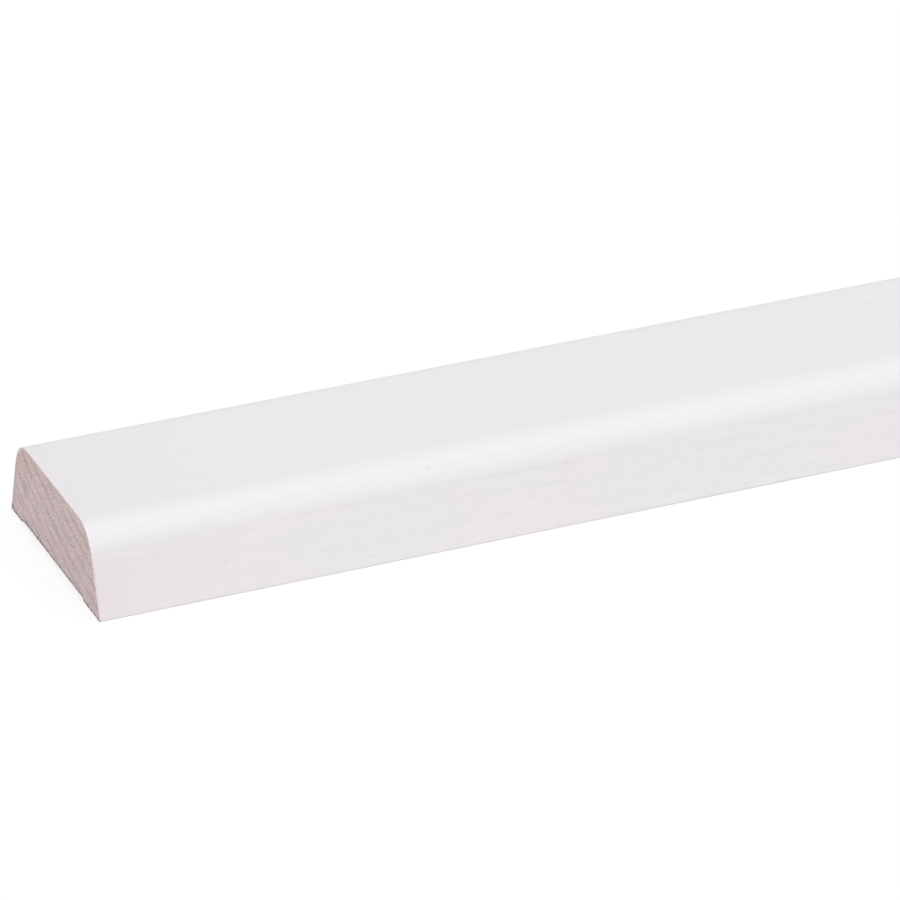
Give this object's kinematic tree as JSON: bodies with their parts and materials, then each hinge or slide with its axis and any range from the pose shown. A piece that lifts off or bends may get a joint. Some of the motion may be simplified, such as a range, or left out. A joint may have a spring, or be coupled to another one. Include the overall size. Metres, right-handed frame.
{
  "type": "bevelled trim strip",
  "caption": "Straight white-primed pine trim strip with a flat face, rounded face edges, bevelled long sides and a relieved back, fixed flat along a wall, frame or panel.",
  "frame": {"origin": "middle of the strip's back, on the plane of the two lands it lies on", "axes": "+X along the strip, -X to the sawn end seen in the picture; +Y across it, to the rear long side; +Z from the back up to the face"},
  "size_m": [2.4, 0.0448, 0.016],
  "materials": {
    "primed_pine": "satin"
  },
  "bodies": {
    "root": {"trim_strip": "primed_pine"}
  },
  "joints": []
}
